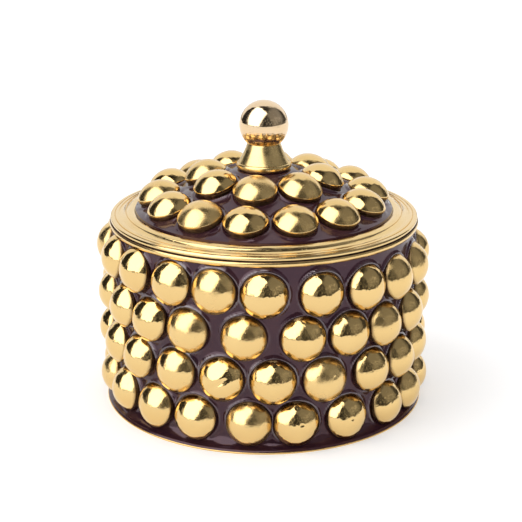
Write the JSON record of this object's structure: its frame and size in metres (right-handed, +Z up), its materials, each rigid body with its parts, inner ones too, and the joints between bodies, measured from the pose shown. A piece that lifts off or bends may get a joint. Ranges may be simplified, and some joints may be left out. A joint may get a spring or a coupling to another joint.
{
  "type": "sindoor box",
  "caption": "Small round brass powder box with a lift-off lid and ball knob, clad in dark lac set with domed brass studs.",
  "frame": {"origin": "centre of the underside, on the surface the box stands on", "axes": "+Z up along the turned axis, -Y towards the viewer of the picture, +X to the viewer's right"},
  "size_m": [0.05, 0.05, 0.045],
  "materials": {
    "brass_base": "polished",
    "brass_cup": "turned",
    "brass_rim": "polished",
    "brass_ring": "turned and polished",
    "brass_shell": "spun",
    "brass_knob": "turned and polished",
    "brass_studs": "pressed and polished",
    "lac": "glossy dark lac"
  },
  "bodies": {
    "pot": {"base_plate": "brass_base", "inner_cup": "brass_cup", "rim_ring": "brass_rim", "lac_band": "lac", "studs_row_1": "brass_studs", "studs_row_2": "brass_studs", "studs_row_3": "brass_studs", "studs_row_4": "brass_studs"},
    "lid": {"lid_ring": "brass_ring", "lid_shell": "brass_shell", "lid_collar": "brass_shell", "lid_lac": "lac", "lid_studs_outer": "brass_studs", "lid_studs_inner": "brass_studs", "knob": "brass_knob", "knob_washer": "brass_knob", "knob_nut": "brass_knob"}
  },
  "joints": [
    {"name": "lid_lift", "type": "slide", "parent": "pot", "child": "lid", "axis": [0, 0, 1], "range_m": [0, 0.03]}
  ]
}
